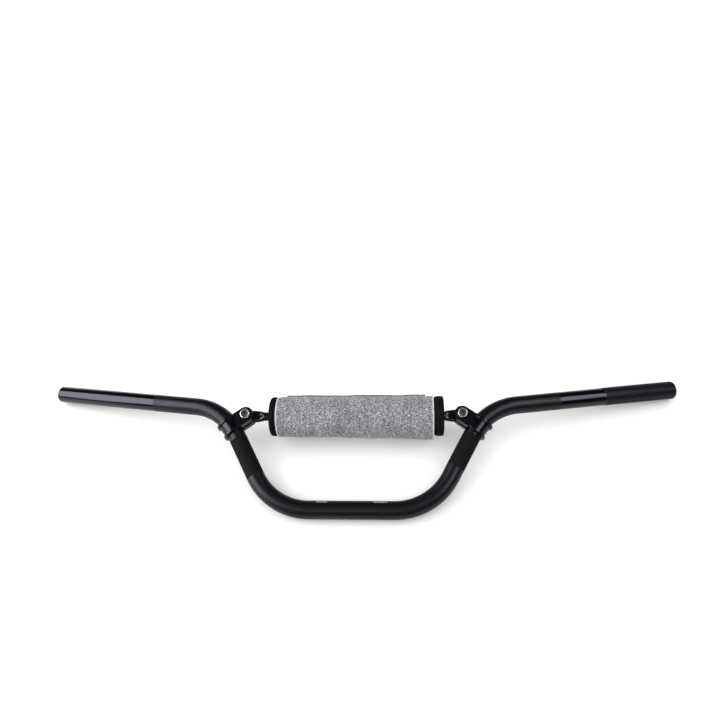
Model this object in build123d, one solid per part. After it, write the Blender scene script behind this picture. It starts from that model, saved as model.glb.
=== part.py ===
# Motorcycle handlebar: a bent tube braced by a clamped crossbar that carries a wrapped foam pad.
#
# The bar is drawn with X to the right, Y up its rise and Z out of the plane of the rise, towards
# its front, from the middle of the tube's centre section. It is then laid down about X, as it lies
# on a bench: on its centre section and both tips, with +Z up.
import os
from math import atan2, cos, degrees, radians, sin

from build123d import *

# Tube, in millimetres and degrees
TUBE_OD = 22.2
TUBE_WALL = 4.0
BAR_WIDTH = 822.0  # between the middles of the two tips
LEG_RISE = 126.5
LEG_LEAN = 28.7
LOWER_BEND = 77.5
UPPER_BEND = 78.5
UPSWEEP = 8.0
BACKSWEEP = 8.8
TIP_ROUND = 1.5
KNURL_OD = 22.7
KNURL_LENGTH = 90.0
KNURL_LEAD = 0.2

# Crossbar
CROSSBAR_RISE = 116.5
CROSSBAR_OD = 11.0
BOLT_TO_CORNER = 38.5  # from a bolt in to the corner of the lower bend, across the bar
EYE_WIDTH = 15.7
EYE_THICK = 6.0
NECK_WIDTH = 13.9
TAPER_FROM = 9.5  # from the bolt to where the eye starts to narrow
NECK_FROM = 17.0  # from the bolt to where the flat starts to swell
ROUND_FROM = 22.5  # from the bolt to where the bar is round

# Clamps, each a split collar with two ears
CLAMP_WIDTH = 19.5
CLAMP_PAST_BEND = 13.5  # from the start of the upper bend to the middle of the collar
COLLAR_WALL = 4.4
COLLAR_FIT = 0.05
COLLAR_ROUND = 0.6
GROOVE_WIDTH = 12.5
GROOVE_DEPTH = 2.2
GROOVE_REACH = 12.4  # from the tube's axis to the square end of the groove, on the ears
EARS_THICK = 25.0
EAR_GAP_FIT = 0.1
EAR_ROUND = 1.0
EAR_RECESS = 1.8

# Bolts and nuts
BOLT_D = 8.0
BOLT_LENGTH = 25.0
BOLT_CHAMFER = 0.8
HEAD_D = 13.0
HEAD_HEIGHT = 8.0
HEAD_SINK = 4.5
SOCKET_FLATS = 6.0
SOCKET_DEPTH = 4.0
SOCKET_LEAD = 0.8
HOLE_FIT = 0.2
HEAD_FIT = 0.35
NUT_FLATS = 13.0
NUT_HEIGHT = 6.5
NUT_SINK = 5.0
NUT_FIT = 0.1
THREAD_FIT = 0.03

# Pad and its cover
PAD_LENGTH = 217.0
PAD_LEFT_ROOM = 31.5  # from the left bolt to the pad, which is pushed a little to the right
PAD_RIGHT_ROOM = 23.5
PAD_END_D = 49.0
PAD_END_ROUND = 3.0
PAD_BULGE = 1.2  # of the bare ends, past the inside of the cover
PAD_BORE_FIT = 0.1
PAD_SLIT = 0.8
BARE_LEFT = 8.2  # length of foam that shows past the cover
BARE_RIGHT = 11.8
COVER_THICK = 1.3
COVER_FIT = 0.1
COVER_END_FIT = 0.2
COVER_START = -28.0  # angle of the cover's inner edge, from the rise towards the front
COVER_OVERLAP_ANGLE = 40.0
FLAP_INSET = 10.0
FLAP_EDGE_MARGIN = 1.0  # degrees past the flap's free edge that its end cuts leave alone
STRIP_THICK = 0.6
STRIP_FIT = 0.03
STRIP_MARGIN = 5.0  # degrees of the overlap left bare beside the strips
STRIP_INSET = 4.0

# Worked out from the sizes above: the crossbar is as long as the pad needs, and the legs stand
# as far apart as the crossbar needs
BOLT_SPACING = PAD_LEFT_ROOM + PAD_LENGTH + PAD_RIGHT_ROOM
PAD_SHIFT = (PAD_LEFT_ROOM - PAD_RIGHT_ROOM) / 2  # of the pad along the crossbar
COVER_LENGTH = PAD_LENGTH - BARE_LEFT - BARE_RIGHT
COVER_SHIFT = (BARE_LEFT - BARE_RIGHT) / 2  # of the cover along the pad
COVER_INNER_R = PAD_END_D / 2 - PAD_BULGE
CENTRE_WIDTH = BOLT_SPACING - 2 * BOLT_TO_CORNER  # between the corners of the lower bends
TUBE_R = TUBE_OD / 2
BORE_R = TUBE_R - TUBE_WALL
LEG_WAY = Vector(sin(radians(LEG_LEAN)), cos(radians(LEG_LEAN)), 0)
GRIP_WAY = Vector(
    cos(radians(UPSWEEP)) * cos(radians(BACKSWEEP)),
    sin(radians(UPSWEEP)) * cos(radians(BACKSWEEP)),
    -sin(radians(BACKSWEEP)),
)
LOWER_CORNER = Vector(CENTRE_WIDTH / 2, 0, 0)
UPPER_CORNER = LOWER_CORNER + LEG_WAY * (LEG_RISE / LEG_WAY.Y)
TIP = UPPER_CORNER + GRIP_WAY * ((BAR_WIDTH / 2 - UPPER_CORNER.X) / GRIP_WAY.X)
LAID_DOWN = Rot(X=degrees(atan2(-TIP.Z, TIP.Y)))
BOLT_AT = Vector(BOLT_SPACING / 2, CROSSBAR_RISE, 0)
COLLAR_R = TUBE_R + COLLAR_WALL
EAR_GAP = EYE_THICK + 2 * EAR_GAP_FIT
HEAD_SEAT = EARS_THICK / 2 - HEAD_SINK
NUT_SEAT = EARS_THICK / 2 - NUT_SINK
LAYER_STEP = COVER_THICK + 2 * STRIP_THICK + 3 * STRIP_FIT

UPWARDS = (Align.CENTER, Align.CENTER, Align.MIN)
DOWNWARDS = (Align.CENTER, Align.CENTER, Align.MAX)


def mirrored(point):
    """The same point on the left half of the bar."""
    return Vector(-point.X, point.Y, point.Z)


def centre_line():
    """The tube's centre line, from the left tip to the right one."""
    right = [LOWER_CORNER, UPPER_CORNER, TIP]
    corners = [mirrored(point) for point in reversed(right)] + right
    bends = [UPPER_BEND, LOWER_BEND, LOWER_BEND, UPPER_BEND]
    return FilletPolyline(*corners, radius=bends)


def along_tube(section):
    """A section carried along the whole centre line, one straight or bend at a time."""
    runs = [
        sweep(Plane(origin=edge @ 0, z_dir=edge % 0) * section, path=edge)
        for edge in centre_line().edges()
    ]
    return Part() + runs


def hexagon(flats):
    """A six-sided outline, by its width over the flats."""
    return RegularPolygon(flats / 2, side_count=6, major_radius=False)


def handlebar_tube():
    """The bent tube, with its knurled length standing a little proud at the right tip."""
    tube = along_tube(Circle(TUBE_R) - Circle(BORE_R))
    knurl = Cylinder(KNURL_OD / 2, KNURL_LENGTH, align=DOWNWARDS)
    knurl = chamfer(knurl.edges().group_by(Axis.Z)[0], KNURL_LEAD)
    knurl -= Cylinder(BORE_R, 3 * KNURL_LENGTH)
    tube += Plane(origin=TIP, z_dir=GRIP_WAY) * knurl
    rims = [
        edge
        for edge in tube.edges().filter_by(GeomType.CIRCLE)
        for tip in (TIP, mirrored(TIP))
        if (edge.arc_center - tip).length < KNURL_LEAD and edge.radius > BORE_R + KNURL_LEAD
    ]
    return fillet(rims, TIP_ROUND)


def crossbar():
    """A round bar whose ends swell out of the round into flat, drilled eyes."""
    taper_at, neck_at, round_at = (
        BOLT_AT.X - back for back in (TAPER_FROM, NECK_FROM, ROUND_FROM)
    )
    rod = Plane.YZ * Circle(CROSSBAR_OD / 2)
    neck = Plane.YZ.offset(neck_at) * SlotOverall(NECK_WIDTH, EYE_THICK)
    eye = Plane.YZ.offset(taper_at) * SlotOverall(EYE_WIDTH, EYE_THICK)
    flat = extrude(eye, amount=TAPER_FROM + EYE_WIDTH / 2)
    outline = Pos(taper_at, 0) * Rectangle(TAPER_FROM, EYE_WIDTH, align=(Align.MIN, Align.CENTER))
    outline += Pos(BOLT_AT.X, 0) * Circle(EYE_WIDTH / 2)
    flat &= extrude(outline, amount=EYE_THICK, both=True)
    flat -= Pos(BOLT_AT.X, 0) * Cylinder(BOLT_D / 2 + HOLE_FIT, EYE_THICK)
    swell = loft([Pos(X=round_at) * rod, neck])
    half = extrude(rod, amount=round_at) + swell + loft([neck, eye]) + flat
    return Pos(0, CROSSBAR_RISE, 0) * (half + mirror(half, about=Plane.YZ))


def clamp_frame():
    """Right clamp's frame: Z along the tube, X in towards the crossbar, Y out of the rise."""
    bend = centre_line().edges()[-2]
    at = bend.position_at(CLAMP_PAST_BEND, PositionMode.LENGTH)
    way = bend.tangent_at(CLAMP_PAST_BEND / bend.length)
    way = Vector(way.X, way.Y, 0)
    return Plane(origin=(at.X, at.Y, 0), x_dir=Vector(0, 0, 1).cross(way), z_dir=way)


def right_clamp():
    """A split collar with a groove between two flanges, and two ears that hold an eye."""
    frame = clamp_frame()
    collar = Cylinder(COLLAR_R - GROOVE_DEPTH, CLAMP_WIDTH)
    flange_width = (CLAMP_WIDTH - GROOVE_WIDTH) / 2
    flange = Cylinder(COLLAR_R, flange_width)
    flange = fillet(flange.edges().filter_by(GeomType.CIRCLE), COLLAR_ROUND)
    flange_at = (CLAMP_WIDTH - flange_width) / 2
    collar += [Pos(Z=side * flange_at) * flange for side in (-1, 1)]

    # The ears lie in the plane of the rise and point at the bolt.
    bolt = frame.to_local_coords(BOLT_AT)
    reach = Vector(bolt.X, 0, bolt.Z)
    ear_plane = Plane(origin=(0, 0, 0), x_dir=reach, z_dir=(0, 1, 0))
    outline = Rectangle(reach.length, CLAMP_WIDTH, align=(Align.MIN, Align.CENTER))
    outline += Pos(reach.length, 0) * Circle(CLAMP_WIDTH / 2)
    ears = extrude(ear_plane * outline, amount=EARS_THICK / 2, both=True)
    faces = ears.faces().sort_by(Axis.Y)
    ears = fillet(faces[0].edges() + faces[-1].edges(), EAR_ROUND)
    recess = Box(GROOVE_REACH, EAR_RECESS, GROOVE_WIDTH)
    recess_at = (EARS_THICK - EAR_RECESS) / 2
    ears -= [Pos(GROOVE_REACH / 2, side * recess_at, 0) * recess for side in (-1, 1)]
    gap = Box(
        COLLAR_R + reach.length,
        2 * COLLAR_R,
        EAR_GAP,
        align=(Align.MIN, Align.CENTER, Align.CENTER),
    )
    clamp = frame * (collar + ears - ear_plane * gap)
    clamp -= along_tube(Circle(TUBE_R + COLLAR_FIT))

    # The bolt's hole, the round seat of its head and the six-sided seat of its nut
    seats = Plane(origin=BOLT_AT, x_dir=frame.x_dir, z_dir=(0, 0, 1))
    hole = Cylinder(BOLT_D / 2 + HOLE_FIT, 2 * EARS_THICK)
    head = Pos(Z=HEAD_SEAT) * Cylinder(HEAD_D / 2 + HEAD_FIT, EARS_THICK, align=UPWARDS)
    nut = extrude(Pos(Z=-NUT_SEAT) * hexagon(NUT_FLATS + 2 * NUT_FIT), amount=-EARS_THICK)
    return clamp - seats * (hole + head + nut)


def right_bolt():
    """A socket head screw whose head sits in the upper ear."""
    shank = Cylinder(BOLT_D / 2, BOLT_LENGTH, align=DOWNWARDS)
    shank = chamfer(shank.edges().group_by(Axis.Z)[0], BOLT_CHAMFER)
    head = Cylinder(HEAD_D / 2, HEAD_HEIGHT, align=UPWARDS)
    head = chamfer(head.edges().group_by(Axis.Z)[-1], BOLT_CHAMFER)
    top = Pos(Z=HEAD_HEIGHT)
    head -= extrude(top * hexagon(SOCKET_FLATS), amount=-SOCKET_DEPTH)
    corner = hexagon(SOCKET_FLATS).vertices()[0].center().length
    head -= top * Cone(corner, corner + SOCKET_LEAD, SOCKET_LEAD, align=DOWNWARDS)
    return Pos(*BOLT_AT) * Pos(Z=HEAD_SEAT) * (head + shank)


def right_nut():
    """A captive nut in the lower ear, bevelled on its outer face."""
    body = hexagon(NUT_FLATS) - Circle(BOLT_D / 2 + THREAD_FIT)
    nut = extrude(body, amount=-NUT_HEIGHT)
    nut &= Pos(Z=-NUT_HEIGHT) * Cone(
        NUT_FLATS / 2, NUT_FLATS / 2 + 2 * NUT_HEIGHT, NUT_HEIGHT, align=UPWARDS
    )
    seat = Plane(origin=BOLT_AT, x_dir=clamp_frame().x_dir, z_dir=(0, 0, 1))
    return seat * Pos(Z=-NUT_SEAT) * nut


def wrap_arcs(radius, overlap=0.0):
    """One turn about the pad that ends a layer further out than it starts, and an overlap."""
    shift = LAYER_STEP / 2
    start = radians(COVER_START)
    arcs = [
        CenterArc((0, 0), radius, COVER_START, 180),
        CenterArc(
            (shift * cos(start), shift * sin(start)), radius + shift, COVER_START + 180, 180
        ),
    ]
    if overlap:
        arcs.append(CenterArc((0, 0), radius + LAYER_STEP, COVER_START, overlap))
    return arcs


def wrap_face(inner, outer):
    """The face between two lines of arcs that run side by side."""
    caps = [Line(inner[0] @ 0, outer[0] @ 0), Line(inner[-1] @ 1, outer[-1] @ 1)]
    return make_face(inner + outer + caps)


def along_pad(face, length, shift=0.0):
    """A section of the pad, carried along X and centred on the pad, or shifted from it."""
    at = PAD_SHIFT + shift - length / 2
    return Pos(at, CROSSBAR_RISE, 0) * extrude(Plane.YZ * face, amount=length)


def overlap_sector(inner_r, outer_r, margin, length):
    """A curved strip in the cover's overlap, with a bare margin of so many degrees beside it."""
    angle = COVER_OVERLAP_ANGLE - 2 * margin
    lines = [
        CenterArc((0, 0), radius, COVER_START + margin, angle) for radius in (inner_r, outer_r)
    ]
    return along_pad(wrap_face(lines[:1], lines[1:]), length, COVER_SHIFT)


def pad_foam():
    """A foam roll, slit to the crossbar, that bulges at both ends where the cover stops."""
    line = wrap_arcs(COVER_INNER_R - COVER_FIT)
    step = Line(line[-1] @ 1, line[0] @ 0)
    foam = along_pad(make_face(line + [step]), COVER_LENGTH + 2 * COVER_END_FIT, COVER_SHIFT)
    for side, bare in ((-1, BARE_LEFT), (1, BARE_RIGHT)):
        end = Cylinder(PAD_END_D / 2, bare - COVER_END_FIT, align=DOWNWARDS)
        end = fillet(end.edges().group_by(Axis.Z)[-1], PAD_END_ROUND)
        at = (PAD_SHIFT + side * PAD_LENGTH / 2, CROSSBAR_RISE, 0)
        foam += Plane(origin=at, z_dir=(side, 0, 0)) * end
    bore = Circle(CROSSBAR_OD / 2 + PAD_BORE_FIT)
    slit = Rectangle(PAD_SLIT, PAD_END_D, align=(Align.CENTER, Align.MAX))
    return foam - along_pad(bore + slit, 2 * PAD_LENGTH)


def pad_cover():
    """A sheet wrapped once round the foam, whose overlapping flap stops short of its ends."""
    inner = wrap_arcs(COVER_INNER_R, COVER_OVERLAP_ANGLE)
    outer = wrap_arcs(COVER_INNER_R + COVER_THICK, COVER_OVERLAP_ANGLE)
    cover = along_pad(wrap_face(inner, outer), COVER_LENGTH, COVER_SHIFT)
    flap_r = COVER_INNER_R + LAYER_STEP
    within = flap_r - STRIP_THICK
    without = flap_r + 2 * COVER_THICK
    beyond = overlap_sector(within, without, -STRIP_FIT, 2 * COVER_LENGTH)
    kept = overlap_sector(
        within - STRIP_FIT,
        without + STRIP_FIT,
        -FLAP_EDGE_MARGIN,
        COVER_LENGTH - 2 * FLAP_INSET,
    )
    return cover - (beyond - kept)


def closure_strip(layer):
    """One half of the closure, in the overlap: layer 0 is on the cover, layer 1 on the flap."""
    inner_r = COVER_INNER_R + COVER_THICK + STRIP_FIT + layer * (STRIP_THICK + STRIP_FIT)
    length = COVER_LENGTH - 2 * (FLAP_INSET + STRIP_INSET)
    return overlap_sector(inner_r, inner_r + STRIP_THICK, STRIP_MARGIN, length)


nodes = {
    "handlebar_tube": handlebar_tube(),
    "crossbar": crossbar(),
    "pad_foam": pad_foam(),
    "pad_cover": pad_cover(),
    "cover_loop_strip": closure_strip(0),
    "cover_hook_strip": closure_strip(1),
}
for name, solid in (
    ("clamp", right_clamp()),
    ("bolt", right_bolt()),
    ("nut", right_nut()),
):
    nodes["right_" + name] = solid
    nodes["left_" + name] = mirror(solid, about=Plane.YZ)

os.makedirs("parts", exist_ok=True)
for name, solid in nodes.items():
    export_step(LAID_DOWN * solid, f"parts/{name}.step")
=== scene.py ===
"""Looks of a black motorcycle handlebar with a clamped crossbar and a felt-wrapped foam pad."""

from math import atan2, cos, exp, pi, radians, sin, tan

import bpy
from mathutils import Matrix, Vector


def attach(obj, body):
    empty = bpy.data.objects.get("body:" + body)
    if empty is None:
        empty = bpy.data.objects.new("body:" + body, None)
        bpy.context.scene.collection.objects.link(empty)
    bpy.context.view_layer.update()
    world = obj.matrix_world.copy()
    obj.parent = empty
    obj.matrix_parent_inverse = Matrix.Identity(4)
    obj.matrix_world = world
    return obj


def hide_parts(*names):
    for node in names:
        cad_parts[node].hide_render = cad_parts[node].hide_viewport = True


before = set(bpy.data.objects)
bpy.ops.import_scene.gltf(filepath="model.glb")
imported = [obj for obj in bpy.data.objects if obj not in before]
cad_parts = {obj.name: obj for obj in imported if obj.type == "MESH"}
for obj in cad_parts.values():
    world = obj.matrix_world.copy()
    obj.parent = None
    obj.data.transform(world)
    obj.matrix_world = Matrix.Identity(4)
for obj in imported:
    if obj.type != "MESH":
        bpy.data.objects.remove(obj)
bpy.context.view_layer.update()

MM = 0.001

# ---------------------------------------------------------------- sizes, from the part's source
LAID_DOWN = radians(13.355576)  # the plane of the rise, laid back about X onto the bench
ACROSS = Vector((1, 0, 0))
RISE = Vector((0, cos(LAID_DOWN), sin(LAID_DOWN)))
FRONT = Vector((0, -sin(LAID_DOWN), cos(LAID_DOWN)))
BENCH = -11.1 * MM

TUBE_R = 11.1 * MM
BORE_R = 7.1 * MM
LOWER_BEND_R = 77.5 * MM
UPPER_BEND_R = 78.5 * MM
TIP_ROUND = 1.5 * MM
BORE_BREAK = 0.4 * MM
KNURL_R = 11.35 * MM
CROSSBAR_RISE = 116.5
BOLT_ACROSS = 136.0
CLAMP_TURN = radians(51.6)
COVER_R = 23.3 * MM
FELT = 1.3 * MM
WRAP_STEP = 2.59 * MM  # from one layer of the wrap to the next, with the closure between them
WRAP_START = radians(-28)
WRAP_OVERLAP = radians(40)
FLAP_INSET = 10 * MM

# ---------------------------------------------------------------- places, from the photograph
KNURL_LENGTH = 95.5 * MM
MACHINED_LEFT = 150.5 * MM  # of the smooth length at each tip, where grips and levers clamp
MACHINED_RIGHT = 156 * MM
PANEL_LOW = 12.8 * MM  # the right leg's lacquered panel starts so far up the straight
PANEL_HIGH = 5.5 * MM  # and the left leg's ends so far below the straight's end
PAD_FROM, PAD_TO = -104.5 * MM, 113.3 * MM  # these four are within 1 mm of the source's
COVER_FROM, COVER_TO = -95.3 * MM, 100.7 * MM
FLAP_PRESSED = radians(5)  # past the closure strips the flap's edge lies closer
SAG_ANGLE = radians(200)  # the felt hangs away from the foam about here, round from the rise
SAG_SPREAD = radians(40)
MARK_STEP = 1.1 * MM  # half the way from one printed tick to the next
MARK_RISE = (7.9 * MM, 9.9 * MM)  # how far up the front of the tube the ticks reach
MARK_ROWS = ((-42 * MM, -28 * MM), (26 * MM, 43 * MM))


def bar_point(across, rise):
    """A point in the plane of the bar's rise, in millimetres, in the part's frame."""
    return (ACROSS * across + RISE * rise) * MM


LOWER_CORNER = bar_point(97.5, 0)
UPPER_CORNER = bar_point(166.7563, 126.5)
TIP = Vector((411.0, 165.2966, 0.0)) * MM
PAD_AXIS = bar_point(0, CROSSBAR_RISE)


# ---------------------------------------------------------------- small helpers
def linear(code):
    """An sRGB hex colour as linear red, green, blue and alpha."""
    values = [int(code[i : i + 2], 16) / 255 for i in (1, 3, 5)]
    return [v / 12.92 if v <= 0.04045 else ((v + 0.055) / 1.055) ** 2.4 for v in values] + [1]


def add(tree, kind, inputs=None, stops=None, **settings):
    """One node, with its settings, its input values or links, and a ramp's stops, ends first."""
    made = tree.nodes.new(kind)
    for name, value in settings.items():
        setattr(made, name, value)
    for name, value in (inputs or {}).items():
        socket = made.inputs[name]
        if isinstance(value, bpy.types.NodeSocket):
            tree.links.new(value, socket)
        else:
            socket.default_value = value
    for i, (at, colour) in enumerate(stops or []):
        element = made.color_ramp.elements[i] if i < 2 else made.color_ramp.elements.new(at)
        element.position, element.color = at, linear(colour)
    return made


def new_material(name):
    """An empty material: its node tree, its shader and the object's own coordinates."""
    material = bpy.data.materials.new(name)
    material.use_nodes = True
    tree = material.node_tree
    shader = tree.nodes["Principled BSDF"]
    spot = add(tree, "ShaderNodeTexCoord").outputs["Object"]
    return material, tree, shader, spot


def per_mm(size):
    """A texture's scale for features of so many millimetres."""
    return 1 / (size * MM)


def take(piece):
    """Selects one piece alone and makes it the active one."""
    bpy.ops.object.select_all(action="DESELECT")
    bpy.context.view_layer.objects.active = piece
    piece.select_set(True)


def edit(piece):
    """Enters edit mode on one piece, with nothing selected."""
    take(piece)
    bpy.ops.object.mode_set(mode="EDIT")
    bpy.ops.mesh.select_all(action="DESELECT")


def leave_edit():
    bpy.ops.object.mode_set(mode="OBJECT")


MERGE = 1e-6  # points closer than a micrometre are one
SELECT_MODES = {"vertices": "VERT", "edges": "EDGE", "polygons": "FACE"}


def close_up():
    """Merges doubled points, turns all faces outwards and leaves edit mode."""
    bpy.ops.mesh.select_all(action="SELECT")
    bpy.ops.mesh.remove_doubles(threshold=MERGE)
    bpy.ops.mesh.normals_make_consistent(inside=False)
    leave_edit()


def pick(piece, kind, test):
    """Selects, in edit mode, the vertices, edges or faces whose corners pass a test."""
    bpy.ops.mesh.select_mode(type=SELECT_MODES[kind])
    bpy.ops.mesh.select_all(action="DESELECT")
    leave_edit()
    points = [vertex.co for vertex in piece.data.vertices]
    for item in getattr(piece.data, kind):
        corners = [item.index] if kind == "vertices" else item.vertices
        item.select = test([points[i] for i in corners])
    bpy.ops.object.mode_set(mode="EDIT")


def midpoint(corners):
    return sum(corners, Vector()) / len(corners)


def apply_modifier(piece, kind, **settings):
    """Adds a modifier with its settings and applies it."""
    modifier = piece.modifiers.new(kind.title(), kind)
    for name, value in settings.items():
        setattr(modifier, name, value)
    take(piece)
    bpy.ops.object.modifier_apply(modifier=modifier.name)


def settle(piece, *materials, smooth=35):
    """Puts a finished piece's place into its mesh and gives it its materials."""
    take(piece)
    bpy.ops.object.transform_apply(location=True, rotation=True, scale=True)
    bpy.ops.object.shade_smooth_by_angle(angle=radians(smooth))
    for material in materials:
        piece.data.materials.append(material)


# ---------------------------------------------------------------- camera
# A 31 mm lens on a 36 mm sensor stands above and in front of the bar and looks down at it.
CAMERA_AT = (0.068156, -0.269301, 0.712112)
CAMERA_TURN = (34.4192, 3.9075, 1.9088)

lens = bpy.data.cameras.new("camera")
lens.lens = 31.0
lens.sensor_width = 36.0
lens.clip_start = 0.01
camera = bpy.data.objects.new("camera", lens)
bpy.context.scene.collection.objects.link(camera)
camera.location = CAMERA_AT
camera.rotation_euler = [radians(turn) for turn in CAMERA_TURN]
bpy.context.scene.camera = camera
bpy.context.scene.view_settings.view_transform = "Standard"


# ---------------------------------------------------------------- studio
LIT_SPOT = Vector((0, 0.08, 0))  # what the lamps are aimed at, in metres as all of the studio is
TENT_R = 3.4
BENCH_R = 4.0
SKY_LIGHT = 0.66  # strength of the sky where it lights the bar
FADE_FROM, FADE_TO = 0.5, 1.1  # from the bar's middle, where the floor turns to plain white
LIFT_NEAR, LIFT_FAR = 0.6, 0.8
SHADOW_REACH = 42 * MM  # how far from the bar the floor keeps its contact shadow
SHADOW_DEPTH = 1.4


def glow_only(piece, colour, strength):
    """A studio piece that only the gloss of the metal sees."""
    material = bpy.data.materials.new(piece.name)
    material.use_nodes = True
    tree = material.node_tree
    glow = add(tree, "ShaderNodeEmission", {"Color": linear(colour), "Strength": strength})
    tree.links.new(glow.outputs[0], tree.nodes["Material Output"].inputs["Surface"])
    piece.data.materials.append(material)
    piece.visible_camera = piece.visible_diffuse = piece.visible_shadow = False
    piece.visible_transmission = piece.visible_volume_scatter = False


def soft_light(name, at, width, height, watts, gloss):
    """A soft box aimed at the bar: a lamp for matt surfaces, and its cloth as gloss shows it."""
    aim = (LIT_SPOT - Vector(at)).to_track_quat("-Z", "Y").to_euler()
    lamp = bpy.data.lights.new(name, "AREA")
    lamp.shape = "RECTANGLE"
    lamp.size, lamp.size_y = width, height
    lamp.energy = watts
    holder = bpy.data.objects.new(name, lamp)
    bpy.context.scene.collection.objects.link(holder)
    holder.location, holder.rotation_euler = at, aim
    holder.visible_glossy = False
    bpy.ops.mesh.primitive_plane_add(size=1, location=at, rotation=aim)
    cloth = bpy.context.object
    cloth.name = name + "_cloth"
    cloth.scale = (width, height, 1)
    glow_only(cloth, "#ffffff", gloss)


def looked_at(tree, by_gloss):
    """1 where the camera looks at a background, also through glass, and by_gloss in a gloss."""
    ray = add(tree, "ShaderNodeLightPath").outputs
    straight = add(
        tree,
        "ShaderNodeMath",
        {0: ray["Is Camera Ray"], 1: ray["Is Transmission Ray"]},
        operation="MAXIMUM",
    )
    either = add(
        tree,
        "ShaderNodeMath",
        {0: ray["Is Glossy Ray"], 1: by_gloss, 2: straight.outputs[0]},
        operation="MULTIPLY_ADD",
    )
    return either.outputs[0]


def hang_sky():
    """An even sky light, which is plain white where the background itself shows."""
    world = bpy.data.worlds.new("studio")
    bpy.context.scene.world = world
    world.use_nodes = True
    tree = world.node_tree
    sky = tree.nodes["Background"]
    sky.inputs["Color"].default_value = linear("#fcfdfd")
    looking = looked_at(tree, by_gloss=1.0)
    level = add(tree, "ShaderNodeMapRange", {0: looking, 3: SKY_LIGHT, 4: 1.0})
    tree.links.new(level.outputs[0], sky.inputs["Strength"])


def bench_laminate():
    """White laminate that the camera sees as white, with the bar's soft shadows kept."""
    material, tree, shader, spot = new_material("bench_white_laminate")
    shader.inputs["Base Color"].default_value = linear("#e4e5e2")
    shader.inputs["Roughness"].default_value = 0.6
    # Near the bar the floor keeps its shadows, and further off it turns to plain white.
    away = add(tree, "ShaderNodeVectorMath", {0: spot}, operation="LENGTH")
    fade = add(
        tree,
        "ShaderNodeMapRange",
        {0: away.outputs["Value"], 1: FADE_FROM, 2: FADE_TO, 3: LIFT_NEAR, 4: LIFT_FAR},
    )
    open_sky = add(tree, "ShaderNodeAmbientOcclusion", {"Distance": SHADOW_REACH}, samples=16)
    kept = add(
        tree, "ShaderNodeMath", {0: open_sky.outputs["AO"], 1: SHADOW_DEPTH}, operation="POWER"
    )
    clear = add(
        tree, "ShaderNodeMath", {0: fade.outputs[0], 1: kept.outputs[0]}, operation="MULTIPLY"
    )
    # The camera's picture stops at white and a gloss doesn't, so a gloss takes half of the lift.
    looking = looked_at(tree, by_gloss=0.5)
    lift = add(tree, "ShaderNodeMath", {0: looking, 1: clear.outputs[0]}, operation="MULTIPLY")
    glow = add(
        tree, "ShaderNodeEmission", {"Color": linear("#ffffff"), "Strength": lift.outputs[0]}
    )
    both = add(tree, "ShaderNodeAddShader", {0: shader.outputs[0], 1: glow.outputs[0]})
    tree.links.new(both.outputs[0], tree.nodes["Material Output"].inputs["Surface"])
    return material


soft_light("left_window", (-1.75, -0.12, 1.2), 2.1, 1.7, watts=27, gloss=5.4)
soft_light("right_box", (1.2, 0.0, 1.65), 1.5, 0.8, watts=2.5, gloss=4.1)
soft_light("front_card", (-0.15, -0.8, 1.4), 0.5, 0.5, watts=1.2, gloss=2.2)
hang_sky()

bpy.ops.mesh.primitive_circle_add(
    vertices=64, radius=BENCH_R, fill_type="NGON", location=(0, 0, BENCH)
)
bench = bpy.context.object
bench.name = "bench"
bench.data.materials.append(bench_laminate())

# A dark studio tent round the bar, which only the gloss of the metal sees.
bpy.ops.mesh.primitive_uv_sphere_add(segments=32, ring_count=16, radius=TENT_R)
tent = bpy.context.object
tent.name = "tent"
glow_only(tent, "#505056", 1.0)


# ---------------------------------------------------------------- materials
NOISE_LOW, NOISE_HIGH = 0.3, 0.7  # nearly all of a noise texture lies between these


def black_anodised(name, dye, worn_dye, roughness, grain_width, grain_depth):
    """Aluminium, blasted, polished, drawn or cast, and then dyed black.

    The dyed oxide is nearly black and lets a little metal gloss through; the surface's grain
    spreads each reflection, and the dye takes a shade unevenly. The real grain is 0.1 mm wide
    or finer, and is drawn three to six times as wide to show at all.
    """
    material, tree, shader, spot = new_material(name)
    cloud = add(tree, "ShaderNodeTexNoise", {"Vector": spot, "Scale": per_mm(26), "Detail": 3.0})
    shade = add(
        tree,
        "ShaderNodeMix",
        {0: cloud.outputs["Fac"], 6: linear(dye), 7: linear(worn_dye)},
        data_type="RGBA",
    )
    tree.links.new(shade.outputs[2], shader.inputs["Base Color"])
    rough = add(
        tree,
        "ShaderNodeMapRange",
        {
            0: cloud.outputs["Fac"],
            1: NOISE_LOW,
            2: NOISE_HIGH,
            3: roughness * 0.92,
            4: roughness * 1.08,
        },
    )
    tree.links.new(rough.outputs[0], shader.inputs["Roughness"])
    grain = add(
        tree, "ShaderNodeTexNoise", {"Vector": spot, "Scale": per_mm(grain_width), "Detail": 2.0}
    )
    bump = add(
        tree,
        "ShaderNodeBump",
        {"Height": grain.outputs["Fac"], "Distance": grain_depth * MM, "Strength": 0.6},
    )
    tree.links.new(bump.outputs[0], shader.inputs["Normal"])
    shader.inputs["Metallic"].default_value = 1.0
    return material


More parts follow.
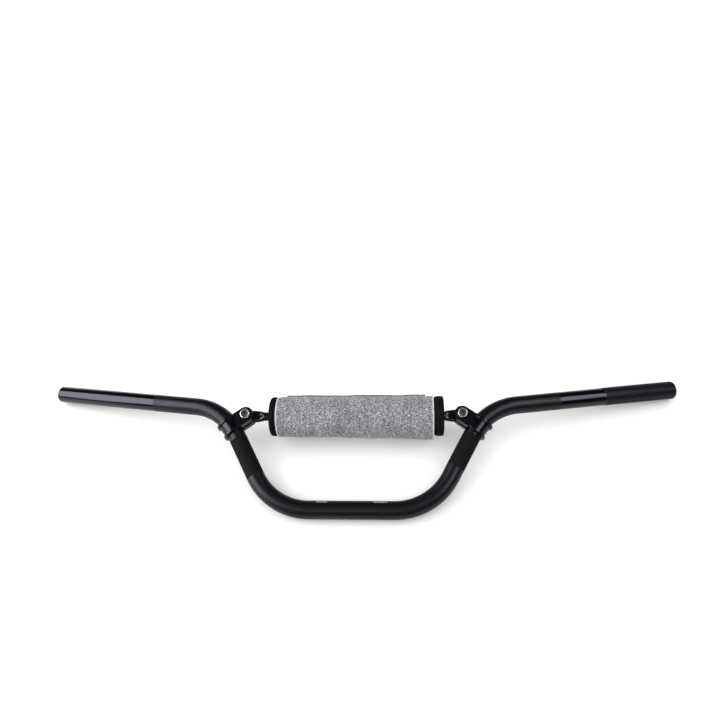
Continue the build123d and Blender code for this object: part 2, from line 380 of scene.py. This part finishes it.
# Blasted gives a soft, spread gloss; polished a tight streak, where grips and levers clamp;
# knurled a dull sparkle; drawn the crossbar's even streak; and cast the clamps' satin skin.
# Name, two shades of the dye, roughness, and the width and depth of the grain in millimetres:
blasted, polished, knurled, drawn, cast = (
    black_anodised(*finish)
    for finish in (
        ("aluminium_blasted_black_anodised", "#37373b", "#303034", 0.4, 0.35, 0.012),
        ("aluminium_polished_black_anodised", "#3a3a3f", "#353539", 0.17, 0.5, 0.002),
        ("aluminium_knurled_black_anodised", "#3f3f45", "#39393f", 0.42, 0.3, 0.008),
        ("aluminium_drawn_black_anodised", "#4a4a51", "#404046", 0.24, 0.4, 0.004),
        ("aluminium_cast_black_coated", "#38383e", "#303035", 0.25, 0.6, 0.02),
    )
)


def flat_lacquer(name):
    """Black stoving lacquer, sprayed flat in a masked panel: an even dark with hardly any gloss."""
    material, tree, shader, spot = new_material(name)
    cloud = add(tree, "ShaderNodeTexNoise", {"Vector": spot, "Scale": per_mm(14), "Detail": 3.0})
    shade = add(
        tree,
        "ShaderNodeMix",
        {0: cloud.outputs["Fac"], 6: linear("#161217"), 7: linear("#110f12")},
        data_type="RGBA",
    )
    tree.links.new(shade.outputs[2], shader.inputs["Base Color"])
    grain = add(tree, "ShaderNodeTexNoise", {"Vector": spot, "Scale": per_mm(0.5), "Detail": 2.0})
    bump = add(
        tree,
        "ShaderNodeBump",
        {"Height": grain.outputs["Fac"], "Distance": 0.01 * MM, "Strength": 0.5},
    )
    tree.links.new(bump.outputs[0], shader.inputs["Normal"])
    shader.inputs["Roughness"].default_value = 0.8
    shader.inputs["Specular IOR Level"].default_value = 0.12
    return material


lacquer = flat_lacquer("lacquer_flat_black_sprayed")


def print_marks(material):
    """A row of generic tick marks on each side of the middle, printed for lining up the clamps."""
    tree = material.node_tree
    shader = tree.nodes["Principled BSDF"]
    spot = add(tree, "ShaderNodeTexCoord").outputs["Object"]
    along = add(tree, "ShaderNodeSeparateXYZ", {0: spot}).outputs["X"]
    teeth = add(tree, "ShaderNodeMath", {0: along, 1: MARK_STEP}, operation="PINGPONG")
    tooth = add(
        tree, "ShaderNodeMath", {0: teeth.outputs[0], 1: 0.45 * MARK_STEP}, operation="GREATER_THAN"
    )
    up = add(tree, "ShaderNodeVectorMath", {0: spot, 1: RISE}, operation="DOT_PRODUCT")
    low, high = MARK_RISE
    tall = add(
        tree,
        "ShaderNodeMath",
        {0: up.outputs["Value"], 1: (low + high) / 2, 2: (high - low) / 2},
        operation="COMPARE",
    )
    ahead = add(tree, "ShaderNodeVectorMath", {0: spot, 1: FRONT}, operation="DOT_PRODUCT")
    front = add(
        tree, "ShaderNodeMath", {0: ahead.outputs["Value"], 1: 0.0}, operation="GREATER_THAN"
    )
    rows = []
    for start, end in MARK_ROWS:
        inside = add(
            tree,
            "ShaderNodeMath",
            {0: along, 1: (start + end) / 2, 2: (end - start) / 2},
            operation="COMPARE",
        )
        rows.append(inside.outputs[0])
    mask = add(tree, "ShaderNodeMath", {0: rows[0], 1: rows[1]}, operation="ADD").outputs[0]
    for limit in (tooth, tall, front):
        joined = add(tree, "ShaderNodeMath", {0: mask, 1: limit.outputs[0]}, operation="MULTIPLY")
        mask = joined.outputs[0]
    plain = shader.inputs["Base Color"].links[0].from_socket
    inked = add(
        tree, "ShaderNodeMix", {0: mask, 6: plain, 7: linear("#c4c4c8")}, data_type="RGBA"
    )
    tree.links.new(inked.outputs[2], shader.inputs["Base Color"])
    metal = add(tree, "ShaderNodeMath", {0: 1.0, 1: mask}, operation="SUBTRACT")
    tree.links.new(metal.outputs[0], shader.inputs["Metallic"])


print_marks(blasted)


def zinc_plate(name, dull, bright, roughness):
    """Steel, zinc plated: a bright, faintly yellow, soft metal gloss with a cloudy bloom."""
    material, tree, shader, spot = new_material(name)
    bloom = add(tree, "ShaderNodeTexNoise", {"Vector": spot, "Scale": per_mm(3), "Detail": 4.0})
    tint = add(
        tree,
        "ShaderNodeValToRGB",
        {0: bloom.outputs["Fac"]},
        stops=((NOISE_LOW, dull), (NOISE_HIGH, bright)),
    )
    tree.links.new(tint.outputs[0], shader.inputs["Base Color"])
    rough = add(
        tree,
        "ShaderNodeMapRange",
        {
            0: bloom.outputs["Fac"],
            1: NOISE_LOW,
            2: NOISE_HIGH,
            3: roughness * 0.8,
            4: roughness * 1.2,
        },
    )
    tree.links.new(rough.outputs[0], shader.inputs["Roughness"])
    shader.inputs["Metallic"].default_value = 1.0
    return material


zinc = zinc_plate("steel_zinc_plated", "#d8d5c6", "#f5f3ea", 0.26)
# In the socket the zinc is drawn duller and darker: painted shade for the recess.
zinc_painted_shade = zinc_plate("steel_zinc_plated_socket_painted_shade", "#625f54", "#7f7c6f", 0.6)


def foam_black(name):
    """Closed-cell rubber foam, moulded: matt black with small pores and a dusty sheen."""
    material, tree, shader, spot = new_material(name)
    # Real cells are 0.2 to 0.4 mm and don't show at this size, so they are drawn three times that.
    cells = add(tree, "ShaderNodeTexVoronoi", {"Vector": spot, "Scale": per_mm(0.9)})
    cloud = add(tree, "ShaderNodeTexNoise", {"Vector": spot, "Scale": per_mm(6), "Detail": 4.0})
    shade = add(
        tree,
        "ShaderNodeMix",
        {0: cloud.outputs["Fac"], 6: linear("#060507"), 7: linear("#0d0c0f")},
        data_type="RGBA",
    )
    tree.links.new(shade.outputs[2], shader.inputs["Base Color"])
    bump = add(
        tree,
        "ShaderNodeBump",
        {"Height": cells.outputs["Distance"], "Distance": 0.15 * MM, "Strength": 0.7},
    )
    tree.links.new(bump.outputs[0], shader.inputs["Normal"])
    shader.inputs["Roughness"].default_value = 0.85
    shader.inputs["Specular IOR Level"].default_value = 0.15
    return material


foam = foam_black("rubber_foam_moulded")


def heather_felt(name):
    """Polyester felt, needled from white, grey and charcoal fibres: a speckled, fuzzy grey."""
    material, tree, shader, spot = new_material(name)
    # Real tufts are 0.3 to 0.5 mm and don't show at this size, so they are drawn four times that.
    tufts = add(
        tree,
        "ShaderNodeTexNoise",
        {"Vector": spot, "Scale": per_mm(1.9), "Detail": 4.0, "Roughness": 0.8},
    )
    speckle = add(
        tree,
        "ShaderNodeValToRGB",
        {0: tufts.outputs["Fac"]},
        stops=((0.32, "#3c3d42"), (0.7, "#f6f6fa"), (0.44, "#717278"), (0.55, "#adaeb3")),
    )
    # The carded web lies a little unevenly, in bands across the pad.
    banded = add(tree, "ShaderNodeMapping", {"Vector": spot, "Scale": (1.0, 0.3, 0.3)})
    patches = add(
        tree,
        "ShaderNodeTexNoise",
        {"Vector": banded.outputs[0], "Scale": per_mm(8), "Detail": 3.0},
    )
    tone = add(
        tree,
        "ShaderNodeMapRange",
        {0: patches.outputs["Fac"], 1: NOISE_LOW, 2: NOISE_HIGH, 3: 0.76, 4: 1.16},
    )
    shade = add(
        tree,
        "ShaderNodeVectorMath",
        {0: speckle.outputs[0], "Scale": tone.outputs[0]},
        operation="SCALE",
    )
    # Near its cut ends the felt is drawn paler.
    across = add(tree, "ShaderNodeSeparateXYZ", {0: spot})
    from_middle = add(
        tree,
        "ShaderNodeMath",
        {0: across.outputs["X"], 1: (COVER_FROM + COVER_TO) / 2},
        operation="SUBTRACT",
    )
    off_middle = add(tree, "ShaderNodeMath", {0: from_middle.outputs[0]}, operation="ABSOLUTE")
    half = (COVER_TO - COVER_FROM) / 2
    at_cut = add(
        tree,
        "ShaderNodeMapRange",
        {0: off_middle.outputs[0], 1: half - 1.9 * MM, 2: half - 1.1 * MM, 3: 0.0, 4: 0.85},
    )
    pale = add(
        tree,
        "ShaderNodeMix",
        {0: at_cut.outputs[0], 6: shade.outputs[0], 7: linear("#f3f3f4")},
        data_type="RGBA",
    )
    tree.links.new(pale.outputs[2], shader.inputs["Base Color"])
    bump = add(
        tree,
        "ShaderNodeBump",
        {"Height": tufts.outputs["Fac"], "Distance": 0.6 * MM, "Strength": 0.8},
    )
    tree.links.new(bump.outputs[0], shader.inputs["Normal"])
    shader.inputs["Roughness"].default_value = 0.95
    shader.inputs["Specular IOR Level"].default_value = 0.15
    shader.inputs["Sheen Weight"].default_value = 0.35
    shader.inputs["Sheen Roughness"].default_value = 0.5
    return material


felt = heather_felt("polyester_felt_needled")


def closure_tape(name, pitch):
    """Nylon closure tape, woven: black, with the pile or the hooks in close rows."""
    material, tree, shader, spot = new_material(name)
    rows = add(tree, "ShaderNodeTexVoronoi", {"Vector": spot, "Scale": per_mm(pitch)})
    shade = add(
        tree,
        "ShaderNodeMix",
        {0: rows.outputs["Distance"], 6: linear("#26262a"), 7: linear("#151517")},
        data_type="RGBA",
    )
    tree.links.new(shade.outputs[2], shader.inputs["Base Color"])
    bump = add(
        tree,
        "ShaderNodeBump",
        {"Height": rows.outputs["Distance"], "Distance": 0.2 * MM, "Strength": 0.8},
    )
    tree.links.new(bump.outputs[0], shader.inputs["Normal"])
    shader.inputs["Roughness"].default_value = 0.7
    return material


loop_tape = closure_tape("nylon_loop_tape", 0.8)
hook_tape = closure_tape("nylon_hook_tape", 1.2)


# ---------------------------------------------------------------- the bent tube
TUBE_SIDES = 80
BEND_STEPS = 26
FINISH_BLASTED, FINISH_POLISHED, FINISH_LACQUERED = 0, 1, 2


def bend_about(corner, came, goes, radius):
    """A bend's start, end, middle, axis and angle, from its corner and the ways in and out."""
    angle = came.angle(goes)
    start = corner - came * radius * tan(angle / 2)
    centre = start + (goes - came * came.dot(goes)).normalized() * radius
    axis = came.cross(goes).normalized()
    end = centre + Matrix.Rotation(angle, 3, axis) @ (start - centre)
    return start, end, centre, axis, angle


def build_handlebar():
    """Half of the tube, drawn out from the middle by straights and bends, and then mirrored."""
    leg = (UPPER_CORNER - LOWER_CORNER).normalized()
    grip = (TIP - UPPER_CORNER).normalized()
    low_start, low_end, *low_bend = bend_about(LOWER_CORNER, ACROSS, leg, LOWER_BEND_R)
    high_start, high_end, *high_bend = bend_about(UPPER_CORNER, leg, grip, UPPER_BEND_R)

    bpy.ops.mesh.primitive_circle_add(vertices=TUBE_SIDES, radius=TUBE_R, rotation=(0, pi / 2, 0))
    bar = bpy.context.object
    bar.name = "handlebar"
    bpy.ops.object.mode_set(mode="EDIT")
    bpy.ops.mesh.select_all(action="SELECT")

    def draw(start, end):
        bpy.ops.mesh.extrude_region_move(TRANSFORM_OT_translate={"value": end - start})

    def bend(centre, axis, angle):
        bpy.ops.mesh.spin(steps=BEND_STEPS, angle=-angle, center=centre, axis=axis)

    draw(Vector(), low_start)
    bend(*low_bend)
    # The legs' straights carry the lacquered panels, which start and end unevenly.
    low_border, high_border = low_end + leg * PANEL_LOW, high_start - leg * PANEL_HIGH
    draw(low_end, low_border)
    draw(low_border, high_border)
    draw(high_border, high_start)
    bend(*high_bend)
    at = high_end
    for from_tip in (MACHINED_RIGHT, MACHINED_LEFT, KNURL_LENGTH, 0):
        draw(at, TIP - grip * from_tip)
        at = TIP - grip * from_tip
    leave_edit()
    settle(bar)
    apply_modifier(bar, "MIRROR", use_axis=(True, False, False), merge_threshold=10 * MERGE)
    edit(bar)
    close_up()
    apply_modifier(bar, "SOLIDIFY", thickness=TUBE_R - BORE_R, offset=-1, use_rim=True)

    # The rims of both open tips are rounded outside and broken inside.
    left_tip, left_grip = Vector((-TIP.x, TIP.y, TIP.z)), Vector((-grip.x, grip.y, grip.z))

    def on_rim(low, high):
        def test(corners):
            for tip, way in ((TIP, grip), (left_tip, left_grip)):
                away = [corner - tip for corner in corners]
                if all(abs(v.dot(way)) < 0.05 * MM and low < v.length < high for v in away):
                    return True
            return False

        return test

    edit(bar)
    pick(bar, "edges", on_rim(TUBE_R - 0.3 * MM, TUBE_R + 0.3 * MM))
    bpy.ops.mesh.bevel(offset=TIP_ROUND, segments=4, profile=0.5)
    pick(bar, "edges", on_rim(BORE_R - 0.1 * MM, BORE_R + 0.1 * MM))
    bpy.ops.mesh.bevel(offset=BORE_BREAK, segments=2, profile=0.5)
    leave_edit()

    # Polished towards the tips, lacquered on the straights of the legs, and blasted elsewhere.
    straight = (high_start - low_end).length
    for face in bar.data.polygons:
        at = face.center
        right = Vector((abs(at.x), at.y, at.z))
        up_leg = (right - low_end).dot(leg)
        low, high = (PANEL_LOW, straight) if at.x > 0 else (0, straight - PANEL_HIGH)
        if (TIP - right).dot(grip) < (MACHINED_RIGHT if at.x > 0 else MACHINED_LEFT):
            face.material_index = FINISH_POLISHED
        elif low < up_leg < high:
            face.material_index = FINISH_LACQUERED
        else:
            face.material_index = FINISH_BLASTED
    return bar, grip


handlebar, grip_way = build_handlebar()
settle(handlebar, blasted, polished, lacquer, smooth=40)


# ---------------------------------------------------------------- the knurled length
DIAMONDS_ROUND, DIAMONDS_ALONG = 56, 40
GROOVE = 0.22 * MM  # half of the width of a groove between two diamonds


def build_knurl():
    """The knurled length at the right tip: diamonds cut into a sleeve, with flat lands."""
    length = KNURL_LENGTH - TIP_ROUND
    bpy.ops.mesh.primitive_cylinder_add(
        vertices=DIAMONDS_ROUND, radius=TUBE_R, depth=length, end_fill_type="NOTHING"
    )
    knurl = bpy.context.object
    knurl.name = "knurled_length"
    bpy.ops.object.mode_set(mode="EDIT")
    pick(knurl, "edges", lambda ends: abs(midpoint(ends).z) < 0.1 * length)
    bpy.ops.mesh.subdivide_edgering(number_cuts=DIAMONDS_ALONG - 1)
    bpy.ops.mesh.select_all(action="SELECT")
    bpy.ops.mesh.poke()

    def side_of_a_square(ends):
        run = ends[0] - ends[1]
        on_end = abs(midpoint(ends).z) > (length - 0.1 * MM) / 2
        return run.xy.length < 0.01 * MM or (abs(run.z) < 0.01 * MM and not on_end)

    # The squares' own sides go, which leaves the diamonds that cross them.
    pick(knurl, "edges", side_of_a_square)
    bpy.ops.mesh.dissolve_edges(use_verts=False)
    bpy.ops.mesh.select_mode(type="FACE")
    bpy.ops.mesh.select_all(action="SELECT")
    bpy.ops.mesh.inset(
        thickness=GROOVE, depth=KNURL_R - TUBE_R, use_individual=True, use_boundary=True
    )
    leave_edit()
    knurl.rotation_mode = "QUATERNION"
    knurl.rotation_quaternion = Vector((0, 0, 1)).rotation_difference(grip_way)
    knurl.location = TIP - grip_way * (TIP_ROUND + length / 2)
    return knurl


knurl = build_knurl()
settle(knurl, knurled, smooth=20)


# ---------------------------------------------------------------- the clamps' bolts
# Radius and height along the bolt in millimetres, from its end to the rim of its socket.
BOLT_PROFILE = [(3.2, -17.0), (4.0, -16.2), (4.0, 8.0), (6.2, 8.0), (6.5, 8.3), (6.5, 13.0)]
BOLT_PROFILE += [(6.2, 13.7), (6.1, 14.9), (5.95, 15.4), (5.7, 15.75), (5.35, 15.95)]
BOLT_PROFILE += [(5.0, 16.0), (4.65, 15.92), (4.4, 15.6), (4.2, 15.0)]
KEY_R = 3.464 * MM  # of a hexagon with 6 mm across its flats
KEY_DEPTH = 4 * MM
KEY_MIDDLE = 13.6 * MM
SOCKET_R = 4.7 * MM  # within this and between these heights the zinc is drawn darker, as painted shade
SOCKET_FLOOR, SOCKET_RIM = 11 * MM, 15.8 * MM


def build_bolt(side):
    """A socket screw: drawn up ring by ring, then the hexagon sunk into its domed head."""
    start, end = BOLT_PROFILE[0]
    bpy.ops.mesh.primitive_circle_add(
        vertices=64, radius=start * MM, fill_type="NGON", location=(0, 0, end * MM)
    )
    bolt = bpy.context.object
    bolt.name = "left_bolt_screw" if side < 0 else "right_bolt_screw"
    bpy.ops.object.mode_set(mode="EDIT")
    bpy.ops.mesh.select_mode(type="FACE")
    bpy.ops.mesh.select_all(action="SELECT")
    for (r0, h0), (r1, h1) in zip(BOLT_PROFILE, BOLT_PROFILE[1:]):
        step = {"value": (0, 0, (h1 - h0) * MM)}
        bpy.ops.mesh.extrude_region_move(TRANSFORM_OT_translate=step)
        grown = (r1 / r0, r1 / r0, 1)
        bpy.ops.transform.resize(value=grown, center_override=(0, 0, h1 * MM))
    close_up()
    settle(bolt)
    bpy.ops.mesh.primitive_cylinder_add(
        vertices=6, radius=KEY_R, depth=KEY_DEPTH, location=(0, 0, KEY_MIDDLE)
    )
    key = bpy.context.object
    key.rotation_euler.z = CLAMP_TURN
    apply_modifier(bolt, "BOOLEAN", object=key, operation="DIFFERENCE", solver="EXACT")
    bpy.data.objects.remove(key)
    # The faces inside the socket take the darker zinc, as painted shade.
    for face in bolt.data.polygons:
        at = face.center
        face.material_index = int(SOCKET_FLOOR < at.z < SOCKET_RIM and at.xy.length < SOCKET_R)
    # Its own upright is turned to the bar's front, and it is set in its clamp.
    turned = Matrix((ACROSS, RISE, FRONT)).transposed().to_4x4()
    placed = Matrix.Translation(bar_point(side * BOLT_ACROSS, CROSSBAR_RISE))
    bolt.matrix_world = placed @ turned
    return bolt


bolts = [build_bolt(side) for side in (-1, 1)]
for bolt in bolts:
    settle(bolt, zinc, zinc_painted_shade, smooth=30)


# ---------------------------------------------------------------- the pad's foam
WAIST = 22.4  # the foam's radius under the cover, in millimetres
# Distance from the end of the pad and radius, in millimetres, from the bore outwards.
FOAM_FACE = [(1.6, 5.7), (0.6, 7.0), (0.0, 11.0), (0.0, 18.0)]
FOAM_LEFT = [(0.1, 21.5), (0.5, 23.1), (1.2, 24.1), (2.4, 24.7), (4.4, 24.95), (6.6, 24.8)]
FOAM_LEFT += [(8.0, 24.0), (9.4, WAIST)]
FOAM_RIGHT = [(0.1, 22.8), (0.3, 23.8), (0.8, 24.4), (1.8, 24.8), (4.4, 25.0), (8.9, 24.8)]
FOAM_RIGHT += [(10.8, 24.0), (12.7, WAIST)]


def build_foam():
    """A foam roll, turned ring by ring: bulged ends, soft rims and slightly domed faces."""
    stations = [(PAD_FROM + a * MM, r) for a, r in FOAM_FACE + FOAM_LEFT]
    stations += [(x * MM, WAIST) for x in range(-90, 91, 10)]
    stations += [(PAD_TO - a * MM, r) for a, r in reversed(FOAM_FACE + FOAM_RIGHT)]
    start, bore = stations[0]
    bpy.ops.mesh.primitive_circle_add(
        vertices=96, radius=bore * MM, location=PAD_AXIS + ACROSS * start, rotation=(0, pi / 2, 0)
    )
    roll = bpy.context.object
    roll.name = "pad_foam_roll"
    bpy.ops.object.mode_set(mode="EDIT")
    bpy.ops.mesh.select_mode(type="VERT")
    bpy.ops.mesh.select_all(action="SELECT")
    for (x0, r0), (x1, r1) in zip(stations, stations[1:] + stations[:1]):
        bpy.ops.mesh.extrude_region_move(TRANSFORM_OT_translate={"value": (x1 - x0, 0, 0)})
        bpy.ops.transform.resize(
            value=(1, r1 / r0, r1 / r0), center_override=PAD_AXIS + ACROSS * x1
        )
    close_up()
    return roll


pad = build_foam()
settle(pad, foam, smooth=50)


# ---------------------------------------------------------------- the pad's felt cover
FIRST_TURN, SECOND_TURN, FLAP_TURN = 88, 92, 20  # steps of about 0.85 mm round the pad
LONG_WAVE, SHORT_WAVE = 2 * pi / (74 * MM), 2 * pi / (31 * MM)
PRESSED_WITHIN = radians(6)


def about_pad(angle):
    """The direction out from the pad's axis at an angle from the rise towards the front."""
    return RISE * cos(angle) + FRONT * sin(angle)


def build_cover():
    """A felt sheet, wound once round the pad from behind its top, with the flap over its start."""
    length = COVER_TO - COVER_FROM
    cells = round(length / MM)
    bpy.ops.mesh.primitive_grid_add(x_subdivisions=cells, y_subdivisions=1, size=length)
    sheet = bpy.context.object
    sheet.name = "pad_cover_sheet"
    bpy.ops.object.mode_set(mode="EDIT")
    pick(sheet, "vertices", lambda ends: ends[0].y < 0)
    bpy.ops.mesh.delete(type="VERT")
    bpy.ops.mesh.select_all(action="SELECT")
    edge = Vector(((COVER_FROM + COVER_TO) / 2, 0, 0)) + PAD_AXIS + about_pad(WRAP_START) * COVER_R
    bpy.ops.transform.translate(value=edge - Vector((0, length / 2, 0)))

    def wind(steps, angle, centre):
        bpy.ops.mesh.spin(steps=steps, angle=-angle, center=centre, axis=(1, 0, 0))

    wind(FIRST_TURN, pi, PAD_AXIS)
    wind(SECOND_TURN, pi, PAD_AXIS + about_pad(WRAP_START) * WRAP_STEP / 2)
    last = PAD_AXIS + about_pad(WRAP_START) * (COVER_R + WRAP_STEP)

    def flap_root(ends):
        inset = min(ends[0].x - COVER_FROM, COVER_TO - ends[0].x)
        return (ends[0] - last).yz.length < 0.05 * MM and inset > FLAP_INSET - 0.1 * MM

    pick(sheet, "vertices", flap_root)
    wind(FLAP_TURN, WRAP_OVERLAP, PAD_AXIS)
    close_up()
    return sheet


def slacken(sheet):
    """The felt as it was pulled on: wavy along the top, and off the foam at the lower right."""
    for vertex in sheet.data.vertices:
        out = vertex.co - PAD_AXIS
        out.x = 0
        angle = atan2(out.dot(FRONT), out.dot(RISE))
        x = vertex.co.x
        along = (x - COVER_FROM) / (COVER_TO - COVER_FROM)
        under = angle % (2 * pi) - SAG_ANGLE
        # In millimetres, it hangs 0.5 lower at the left end and 4.2 at the right one,
        lift = (0.5 + 3.7 * along**1.6) * exp(-((under / SAG_SPREAD) ** 2))
        # stands off by 0.35 all round, with two waves of 0.3 and 0.15,
        lift += 0.35 + 0.3 * sin(x * LONG_WAVE + 2 * angle) + 0.15 * sin(x * SHORT_WAVE - angle)
        # and is pressed down by 0.9 at the flap's edge.
        if out.length > COVER_R + WRAP_STEP / 2 and angle > FLAP_PRESSED:
            lift -= 0.9 * min(1, (angle - FLAP_PRESSED) / PRESSED_WITHIN)
        vertex.co += out.normalized() * lift * MM


def fuzz(sheet):
    """The felt's own thickness and uneven face, as a fine displacement of the sheet."""
    apply_modifier(sheet, "SOLIDIFY", thickness=FELT, offset=1, use_rim=True)
    clouds = bpy.data.textures.new("felt_fuzz", "CLOUDS")
    clouds.noise_scale = 2.2 * MM
    clouds.noise_depth = 2
    apply_modifier(sheet, "DISPLACE", texture=clouds, strength=0.7 * MM, texture_coords="GLOBAL")


cover = build_cover()
slacken(cover)
fuzz(cover)
settle(cover, felt, smooth=60)


# ---------------------------------------------------------------- what rides, stands in and rests
for piece, node, slot in (
    (handlebar, "handlebar_tube", "bar_black"),
    (knurl, "handlebar_tube", "bar_black"),
    (pad, "pad_foam", "foam_black"),
    (cover, "pad_cover", "felt_grey"),
    (bolts[0], "left_bolt", "fastener_zinc"),
    (bolts[1], "right_bolt", "fastener_zinc"),
):
    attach(piece, "root")
    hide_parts(node)

CARRIED = {
    "crossbar": drawn,
    "left_clamp": cast,
    "right_clamp": cast,
    "left_nut": zinc,
    "right_nut": zinc,
    "cover_loop_strip": loop_tape,
    "cover_hook_strip": hook_tape,
}
for node, material in CARRIED.items():
    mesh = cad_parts[node].data
    mesh.materials.clear()
    mesh.materials.append(material)
